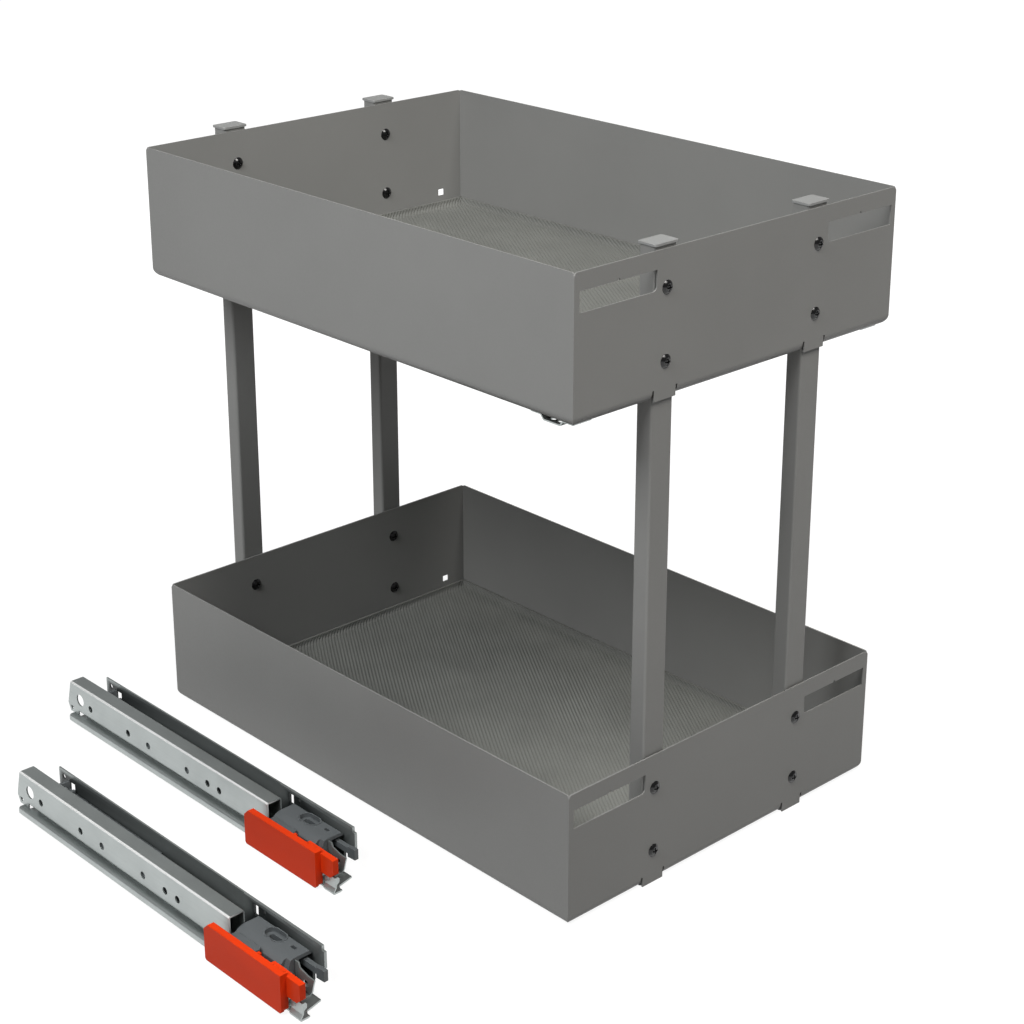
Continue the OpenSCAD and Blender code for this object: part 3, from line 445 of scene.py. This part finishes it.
def rub_bright(bracket, look):
    """Marks the nose of a side bracket, shown as lighter zinc, and its upper edge, which gets a painted
    highlight.
    """
    mesh = bracket.data
    places = [vert.co for vert in mesh.vertices]
    front = min(place.y for place in places)
    top = max(place.z for place in places)
    marks = mesh.attributes.new(HIGHLIGHT_AND_NOSE, "FLOAT", "POINT")
    for mark, place in zip(marks.data, places):
        # A band at the top for the painted highlight, and a ramp that fades the lighter zinc nose
        edge = place.z > top - look.worn_edge
        nose = 1 - (place.y - front - look.worn_nose) / look.worn_fade
        mark.value = max(float(edge), min(1.0, max(0.0, nose)))


def rub_fold(rail, look):
    """Marks the fold along the upper left edge of a drawer rail for a painted highlight, a bright line where
    light catches the fold.
    """
    mesh = rail.data
    places = [vert.co for vert in mesh.vertices]
    left = min(place.x for place in places)
    top = max(place.z for place in places)
    marks = mesh.attributes.new(HIGHLIGHT_AND_NOSE, "FLOAT", "POINT")
    for mark, place in zip(marks.data, places):
        nearer, farther = sorted((place.x - left, top - place.z))
        mark.value = float(nearer > look.fold_rim and farther < look.fold_reach)


class MatForm:
    """Developed shape of a mat: a flat floor whose edges roll up the tray walls."""

    def __init__(self, node, sizes):
        low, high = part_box(node)
        self.middle = (low + high) / 2
        self.floor = low.z + sizes.mat_thickness
        self.top = high.z
        self.inner = sizes.mat_bend - sizes.mat_thickness
        self.thickness = sizes.mat_thickness
        self.flat = [(high[i] - low[i]) / 2 - sizes.mat_bend for i in (0, 1)]
        self.roll = self.inner * math.pi / 2
        self.rise = self.top - self.floor - self.inner
        self.reach = [f + self.roll + self.rise for f in self.flat]

    def side(self, value, axis):
        """Place, height and inward slope of the inner face at a developed distance from the middle."""
        past = abs(value) - self.flat[axis]
        way = math.copysign(1, value)
        if past <= 0:
            return value, 0.0, 0.0
        turn = min(past / self.inner, math.pi / 2)
        place = self.flat[axis] + self.inner * math.sin(turn)
        height = self.inner * (1 - math.cos(turn)) + max(0.0, past - self.roll)
        return way * place, height, way * turn

    def point(self, u, v, out):
        """Point of the mat at developed place (u, v), out above the inner face."""
        x, height_x, turn_x = self.side(u, 0)
        y, height_y, turn_y = self.side(v, 1)
        normal_x = -math.sin(turn_x) if height_x >= height_y or out < 0 else 0.0
        normal_y = -math.sin(turn_y) if height_y > height_x or out < 0 else 0.0
        lead = turn_x if height_x >= height_y else turn_y
        return Vector((
            self.middle.x + x + normal_x * out,
            self.middle.y + y + normal_y * out,
            self.floor + max(height_x, height_y) + math.cos(lead) * out,
        ))


def rib_relief(distance, sizes):
    """Height of the rib pattern at a distance across it, 0 to 1, flat on top."""
    away = abs((distance / sizes.rib_pitch + 0.5) % 1 - 0.5) * sizes.rib_pitch
    crest, foot = sizes.rib_width * RIB_CREST, sizes.rib_width / 2
    return max(0.0, min(1.0, (foot - away) / (foot - crest)))


def cut(bm, point, normal):
    """Slices all faces of a bmesh by a plane."""
    bmesh.ops.bisect_plane(
        bm,
        geom=bm.verts[:] + bm.edges[:] + bm.faces[:],
        dist=MERGE_MM * MM,
        plane_co=point,
        plane_no=normal,
    )


def ribbed_mat(node, sizes):
    """Mat with diagonal ribs that run on up its rolled edge."""
    form = MatForm(node, sizes)
    reach_u, reach_v = form.reach
    bm = bmesh.new()
    bmesh.ops.create_grid(bm, x_segments=1, y_segments=1, size=1)
    bmesh.ops.scale(bm, verts=bm.verts, vec=(reach_u, reach_v, 1))
    # Ribs
    angle = sizes.rib_angle
    across = Vector((math.cos(angle), -math.sin(angle), 0))
    half_span = abs(across.x) * reach_u + abs(across.y) * reach_v
    count = int(half_span / sizes.rib_pitch)
    for i in range(-count, count + 1):
        for edge in (-0.5, -RIB_CREST, RIB_CREST, 0.5):
            cut(bm, across * (i * sizes.rib_pitch + edge * sizes.rib_width), across)
    # Rolled edges
    for way in (-1, 1):
        for i in range(ROLL_STEPS + 1):
            past = form.roll * i / ROLL_STEPS
            cut(bm, (way * (form.flat[0] + past), 0, 0), (1, 0, 0))
            cut(bm, (0, way * (form.flat[1] + past), 0), (0, 1, 0))
        for other in (-1, 1):
            corner = (way * form.flat[0], other * form.flat[1], 0)
            cut(bm, corner, (1, -way * other, 0))
    # Notches round the front posts
    notches = []
    for post in ("front_left_post", "front_right_post"):
        low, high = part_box(post)
        side = sizes.notch_gap
        box_low = low.x - side - form.middle.x
        box_high = high.x + side - form.middle.x
        depth = high.y + sizes.notch_back - form.middle.y
        cut(bm, (box_low, 0, 0), (1, 0, 0))
        cut(bm, (box_high, 0, 0), (1, 0, 0))
        notches.append((box_low, box_high, depth))
    cut(bm, (0, notches[0][2], 0), (0, 1, 0))
    waste = []
    for face in bm.faces:
        middle = face.calc_center_median()
        if any(a < middle.x < b and middle.y < c for a, b, c in notches):
            waste.append(face)
    bmesh.ops.delete(bm, geom=waste, context="FACES")
    # Underside, then both faces take their shape
    shell = bmesh.ops.extrude_face_region(bm, geom=bm.faces[:])
    under = {v for v in shell["geom"] if isinstance(v, bmesh.types.BMVert)}
    for vert in bm.verts:
        u, v = vert.co.x, vert.co.y
        if vert in under:
            vert.co = form.point(u, v, -form.thickness)
        else:
            relief = rib_relief(across.x * u + across.y * v, sizes)
            vert.co = form.point(u, v, relief * sizes.rib_height)
    bmesh.ops.recalc_face_normals(bm, faces=bm.faces)
    return new_piece(node + "_ribbed", bm, "mat_rubber", body_of_node(node), sizes, node, RIB_SHARP)


# Settings


class OrganizerLook(bpy.types.PropertyGroup):
    """Sizes and colours of the organizer's looks."""

    powder_colour: bpy.props.FloatVectorProperty(
        name="Powder coat", description="Colour of the trays and posts", subtype="COLOR",
        size=4, min=0, max=1, default=linear("838381"))
    mat_colour: bpy.props.FloatVectorProperty(
        name="Mats", description="Colour of the ribbed mats", subtype="COLOR",
        size=4, min=0, max=1, default=linear("70716d"))
    cap_colour: bpy.props.FloatVectorProperty(
        name="Post caps", description="Colour of the caps on the posts", subtype="COLOR",
        size=4, min=0, max=1, default=linear("8e8f8e"))
    nylon_colour: bpy.props.FloatVectorProperty(
        name="Nylon", description="Colour of the catches and cages", subtype="COLOR",
        size=4, min=0, max=1, default=linear("54585a"))
    handle_colour: bpy.props.FloatVectorProperty(
        name="Release handles", description="Colour of the release handles", subtype="COLOR",
        size=4, min=0, max=1, default=linear("d6380e"))
    screw_colour: bpy.props.FloatVectorProperty(
        name="Screws", description="Colour of the blackened screws", subtype="COLOR",
        size=4, min=0, max=1, default=linear("060607"))
    spring_colour: bpy.props.FloatVectorProperty(
        name="Springs", description="Colour of the bright spring wire", subtype="COLOR",
        size=4, min=0, max=1, default=linear("a8a8a6"))
    zinc_colour: bpy.props.FloatVectorProperty(
        name="Zinc", description="Colour of the zinc plated rails", subtype="COLOR",
        size=4, min=0, max=1, default=linear("b1b7b6"))
    # Painted highlight on the drawer rails' fold: its colour and its reach
    burnished_colour: bpy.props.FloatVectorProperty(
        name="Fold highlight", description="Colour of the painted highlight on the drawer rails' fold", subtype="COLOR",
        size=4, min=0, max=1, default=linear("f0f1f0"))
    fold_rim: bpy.props.FloatProperty(
        name="Fold rim", description="Edge of the fold that the painted highlight leaves out", unit="LENGTH", default=0.02 * MM)
    fold_reach: bpy.props.FloatProperty(
        name="Fold reach", description="Reach of the fold from the rail's edge",
        unit="LENGTH", default=1.9 * MM)
    dark_steel_colour: bpy.props.FloatVectorProperty(
        name="Side brackets", description="Colour of the dark side brackets", subtype="COLOR",
        size=4, min=0, max=1, default=linear("303434"))
    # Painted highlight on the side brackets' upper edge, and the lighter zinc nose with its fade
    worn_edge: bpy.props.FloatProperty(
        name="Edge highlight", description="Depth of the bright upper edge of the side brackets",
        unit="LENGTH", default=0.4 * MM)
    worn_nose: bpy.props.FloatProperty(
        name="Light nose", description="Length of the bright nose of the side brackets",
        unit="LENGTH", default=14 * MM)
    worn_fade: bpy.props.FloatProperty(
        name="Light nose fade", description="Length over which the bright nose turns dark",
        unit="LENGTH", default=14 * MM)
    mat_thickness: bpy.props.FloatProperty(
        name="Mat thickness", description="Thickness of the mats", unit="LENGTH", default=2.0 * MM)
    mat_bend: bpy.props.FloatProperty(
        name="Mat bend", description="Outside radius of the mat's rolled edge",
        unit="LENGTH", default=6.5 * MM)
    rib_pitch: bpy.props.FloatProperty(
        name="Rib pitch", description="Distance between the ribs", unit="LENGTH", default=3.0 * MM)
    rib_width: bpy.props.FloatProperty(
        name="Rib width", description="Width of a rib at its foot", unit="LENGTH", default=1.7 * MM)
    rib_height: bpy.props.FloatProperty(
        name="Rib height", description="Height of the ribs", unit="LENGTH", default=0.6 * MM)
    rib_angle: bpy.props.FloatProperty(
        name="Rib angle", description="Angle between the ribs and the depth of the tray", subtype="ANGLE",
        default=math.radians(33))
    notch_gap: bpy.props.FloatProperty(
        name="Notch side gap", description="Gap at each side of a post", unit="LENGTH", default=1.8 * MM)
    notch_back: bpy.props.FloatProperty(
        name="Notch back gap", description="Gap behind a post", unit="LENGTH", default=0.8 * MM)
    key_power: bpy.props.FloatProperty(
        name="Key light", description="Power of the main soft light", unit="POWER", default=42.0)
    fill_power: bpy.props.FloatProperty(
        name="Fill light", description="Power of the front soft light", unit="POWER", default=43.0)
    back_power: bpy.props.FloatProperty(
        name="Back light", description="Power of the soft light behind", unit="POWER", default=26.0)
    world_level: bpy.props.FloatProperty(
        name="Room level", description="Brightness of the room's even light", default=0.03)
    world_gloss: bpy.props.FloatProperty(
        name="Room in gloss", description="Brightness of the room as glossy surfaces see it", default=0.24)
    floor_colour: bpy.props.FloatVectorProperty(
        name="Floor", description="Colour of the pale floor", subtype="COLOR",
        size=4, min=0, max=1, default=linear("6c6c6c"))
    floor_glow: bpy.props.FloatProperty(
        name="Floor glow", description="Glow that lifts the lit floor to white near the object", default=0.9)


# Operators


class ORGANIZER_OT_trays(bpy.types.Operator):
    """Dresses the two folded trays"""

    bl_idname = "organizer.trays"
    bl_label = "Trays"

    def execute(self, context):
        for tier in TIERS:
            dress(tier + "_tray", context.scene.organizer_look, EDGE_MM["tray"])
        return {"FINISHED"}


class ORGANIZER_OT_mats(bpy.types.Operator):
    """Makes the ribbed mats"""

    bl_idname = "organizer.mats"
    bl_label = "Ribbed mats"

    def execute(self, context):
        for tier in TIERS:
            ribbed_mat(tier + "_mat", context.scene.organizer_look)
        return {"FINISHED"}


class ORGANIZER_OT_posts(bpy.types.Operator):
    """Dresses the posts and their caps"""

    bl_idname = "organizer.posts"
    bl_label = "Posts"

    def execute(self, context):
        look = context.scene.organizer_look
        for end in ("front", "rear"):
            for side in ("left", "right"):
                paint_node("%s_%s_post" % (end, side), look)
        dress("post_top_caps", look, EDGE_MM["cap"])
        paint_node("post_foot_caps", look)
        return {"FINISHED"}


class ORGANIZER_OT_screws(bpy.types.Operator):
    """Finishes the screws and rivet nuts"""

    bl_idname = "organizer.screws"
    bl_label = "Screws and rivet nuts"

    def execute(self, context):
        look = context.scene.organizer_look
        for end in ("front", "rear"):
            dress(end + "_screws", look)
            paint_node(end + "_rivet_nuts", look)
        return {"FINISHED"}


class ORGANIZER_OT_runner_brackets(bpy.types.Operator):
    """Finishes the brackets under the upper tray"""

    bl_idname = "organizer.runner_brackets"
    bl_label = "Runner brackets"

    def execute(self, context):
        look = context.scene.organizer_look
        dress("runner_brackets", look, EDGE_MM["bracket"])
        paint_node("runner_bracket_rivets", look)
        return {"FINISHED"}


class ORGANIZER_OT_rails(bpy.types.Operator):
    """Finishes the folded rails of both slides"""

    bl_idname = "organizer.rails"
    bl_label = "Rails"

    def execute(self, context):
        look = context.scene.organizer_look
        for side in SIDES:
            for part in ("cabinet_channel", "middle_rail"):
                dress("%s_%s" % (side, part), look, EDGE_MM["rail"])
            # Painted highlight along each drawer rail's fold and each side bracket's upper edge; the
            # bracket's nose is lighter zinc
            rub_fold(dress(side + "_drawer_rail", look, EDGE_MM["rail"]), look)
            rub_bright(dress(side + "_side_bracket", look, EDGE_MM["rail"]), look)
            paint_node(side + "_channel_rivets", look)
        return {"FINISHED"}


class ORGANIZER_OT_bearings(bpy.types.Operator):
    """Finishes the roller cages of both slides"""

    bl_idname = "organizer.bearings"
    bl_label = "Roller cages"

    def execute(self, context):
        look = context.scene.organizer_look
        for side in SIDES:
            for part in ("lower_cage", "lower_rollers", "upper_cage", "upper_rollers"):
                dress("%s_%s" % (side, part), look)
        return {"FINISHED"}


class ORGANIZER_OT_catches(bpy.types.Operator):
    """Dresses the catches, latch plates and height adjusters"""

    bl_idname = "organizer.catches"
    bl_label = "Catches"

    def execute(self, context):
        look = context.scene.organizer_look
        for side in SIDES:
            dress(side + "_catch_body", look, EDGE_MM["catch"])
            dress(side + "_latch_plate", look, EDGE_MM["latch"])
            dress(side + "_height_adjuster", look, EDGE_MM["adjuster"])
            for part in ("catch_pins", "handle_pin"):
                paint_node("%s_%s" % (side, part), look)
        return {"FINISHED"}


class ORGANIZER_OT_handles(bpy.types.Operator):
    """Dresses the orange release handles"""

    bl_idname = "organizer.handles"
    bl_label = "Release handles"

    def execute(self, context):
        for side in SIDES:
            dress(side + "_release_handle", context.scene.organizer_look, EDGE_MM["handle"], segments=3)
        return {"FINISHED"}


class ORGANIZER_OT_dampers(bpy.types.Operator):
    """Finishes the closing dampers"""

    bl_idname = "organizer.dampers"
    bl_label = "Closing dampers"

    def execute(self, context):
        look = context.scene.organizer_look
        for side in SIDES:
            dress(side + "_damper_housing", look, EDGE_MM["housing"])
            dress(side + "_closing_catch", look, EDGE_MM["closing_catch"])
            for part in ("damper_cylinder", "damper_rod", "closing_spring"):
                dress("%s_%s" % (side, part), look)
        return {"FINISHED"}


def soft_light(name, power, place, size, target=STUDIO_MIDDLE, colour=(1, 1, 1)):
    """Rectangular area lamp that looks at a target."""
    lamp = bpy.data.lights.new(name, "AREA")
    lamp.shape = "RECTANGLE"
    lamp.size, lamp.size_y = size
    lamp.energy = power
    lamp.color = colour
    obj = bpy.data.objects.new(name, lamp)
    way = Vector(target) - Vector(place)
    obj.matrix_world = Matrix.Translation(place) @ way.to_track_quat("-Z", "Y").to_matrix().to_4x4()
    bpy.context.scene.collection.objects.link(obj)
    return obj


def pale_floor_material(look):
    """White studio floor that keeps the shadow, and shows white to the camera and in gloss."""
    material, tree = start_material("painted_studio_floor")
    paths = add_node(tree, "ShaderNodeLightPath").outputs
    seen = add_node(
        tree, "ShaderNodeMath", {0: paths["Is Camera Ray"], 1: paths["Is Glossy Ray"]},
        operation="MAXIMUM").outputs[0]
    seen = add_node(
        tree, "ShaderNodeMath", {0: seen, 1: paths["Is Transmission Ray"]}, operation="MAXIMUM").outputs[0]
    grain = noise(tree, object_place(tree, size_mm=40), detail=2.0, roughness=0.5)
    metres = object_place(tree, size_mm=1000)
    far = add_node(tree, "ShaderNodeVectorMath", {0: metres}, operation="LENGTH").outputs["Value"]
    matt = add_node(tree, "ShaderNodeBsdfDiffuse", {
        "Color": tint(tree, grain, look.floor_colour, scaled(look.floor_colour, 1.03)), "Roughness": 0.5})
    glow = add_node(tree, "ShaderNodeEmission", {
        "Color": (1, 1, 1, 1),
        "Strength": add_node(
            tree, "ShaderNodeMath", {0: seen, 1: ramp(tree, far, look.floor_glow, 1.0, *FLOOR_FADE)},
            operation="MULTIPLY").outputs[0]})
    both = add_node(tree, "ShaderNodeAddShader", {0: matt.outputs[0], 1: glow.outputs[0]})
    add_node(tree, "ShaderNodeOutputMaterial", {"Surface": both.outputs[0]})
    return material


class ORGANIZER_OT_stage(bpy.types.Operator):
    """Makes the floor, the lights, the room and the camera"""

    bl_idname = "organizer.stage"
    bl_label = "Stage"

    def execute(self, context):
        look = context.scene.organizer_look
        scene = context.scene
        bm = bmesh.new()
        bmesh.ops.create_grid(bm, x_segments=2, y_segments=2, size=FLOOR_HALF)
        bmesh.ops.translate(bm, verts=bm.verts, vec=(0, 0, -FLOOR_DROP))
        mesh = bpy.data.meshes.new("studio_floor")
        bm.to_mesh(mesh)
        bm.free()
        floor = bpy.data.objects.new("studio_floor", mesh)
        scene.collection.objects.link(floor)
        mesh.materials.append(pale_floor_material(look))
        soft_light("key_light", look.key_power, **KEY_LIGHT)
        soft_light("fill_light", look.fill_power, **FILL_LIGHT)
        back = soft_light("back_light", look.back_power, **BACK_LIGHT)
        back.visible_glossy = False
        world = bpy.data.worlds.new("studio_room")
        scene.world = world
        world.use_nodes = True
        tree = world.node_tree
        tree.nodes.clear()
        paths = add_node(tree, "ShaderNodeLightPath").outputs
        seen = add_node(
            tree, "ShaderNodeMath", {0: paths["Is Camera Ray"], 1: paths["Is Transmission Ray"]},
            operation="MAXIMUM").outputs[0]
        lit = ramp(tree, paths["Is Glossy Ray"], look.world_level, look.world_gloss)
        level = ramp(tree, seen, lit, 1.0)
        room = add_node(tree, "ShaderNodeBackground", {"Color": (1, 1, 1, 1), "Strength": level})
        add_node(tree, "ShaderNodeOutputWorld", {"Surface": room.outputs[0]})
        scene.view_settings.view_transform = "Standard"
        make_camera(scene)
        return {"FINISHED"}


def make_camera(scene):
    """Camera at the photograph's place."""
    back = Vector((
        math.sin(CAMERA_AZIMUTH) * math.cos(CAMERA_ELEVATION),
        -math.cos(CAMERA_AZIMUTH) * math.cos(CAMERA_ELEVATION),
        math.sin(CAMERA_ELEVATION),
    ))
    lens = bpy.data.cameras.new("camera")
    lens.sensor_width = CAMERA_SENSOR_MM
    lens.lens = CAMERA_LENS_MM
    lens.shift_y = CAMERA_SHIFT
    lens.clip_start, lens.clip_end = CAMERA_CLIP
    camera = bpy.data.objects.new("camera", lens)
    place = CAMERA_TARGET + back * CAMERA_DISTANCE
    turn = (-back).to_track_quat("-Z", "Y").to_matrix().to_4x4()
    camera.matrix_world = Matrix.Translation(place) @ turn
    scene.collection.objects.link(camera)
    scene.camera = camera


class ORGANIZER_PT_looks(bpy.types.Panel):
    """Settings and pieces of the organizer's looks"""

    bl_label = "Organizer"
    bl_idname = "ORGANIZER_PT_looks"
    bl_space_type = "VIEW_3D"
    bl_region_type = "UI"
    bl_category = "Organizer"

    def draw(self, context):
        look = context.scene.organizer_look
        for name in OrganizerLook.__annotations__:
            self.layout.prop(look, name)
        for maker in OPERATORS:
            self.layout.operator(maker.bl_idname)


OPERATORS = (
    ORGANIZER_OT_trays,
    ORGANIZER_OT_mats,
    ORGANIZER_OT_posts,
    ORGANIZER_OT_screws,
    ORGANIZER_OT_runner_brackets,
    ORGANIZER_OT_rails,
    ORGANIZER_OT_bearings,
    ORGANIZER_OT_catches,
    ORGANIZER_OT_handles,
    ORGANIZER_OT_dampers,
    ORGANIZER_OT_stage,
)
CLASSES = (OrganizerLook, *OPERATORS, ORGANIZER_PT_looks)


def register():
    for item in CLASSES:
        bpy.utils.register_class(item)
    bpy.types.Scene.organizer_look = bpy.props.PointerProperty(type=OrganizerLook)


def unregister():
    del bpy.types.Scene.organizer_look
    for item in reversed(CLASSES):
        bpy.utils.unregister_class(item)


def main():
    register()
    for maker in OPERATORS:
        group, call = maker.bl_idname.split(".")
        getattr(getattr(bpy.ops, group), call)()


if __name__ == "__main__":
    main()
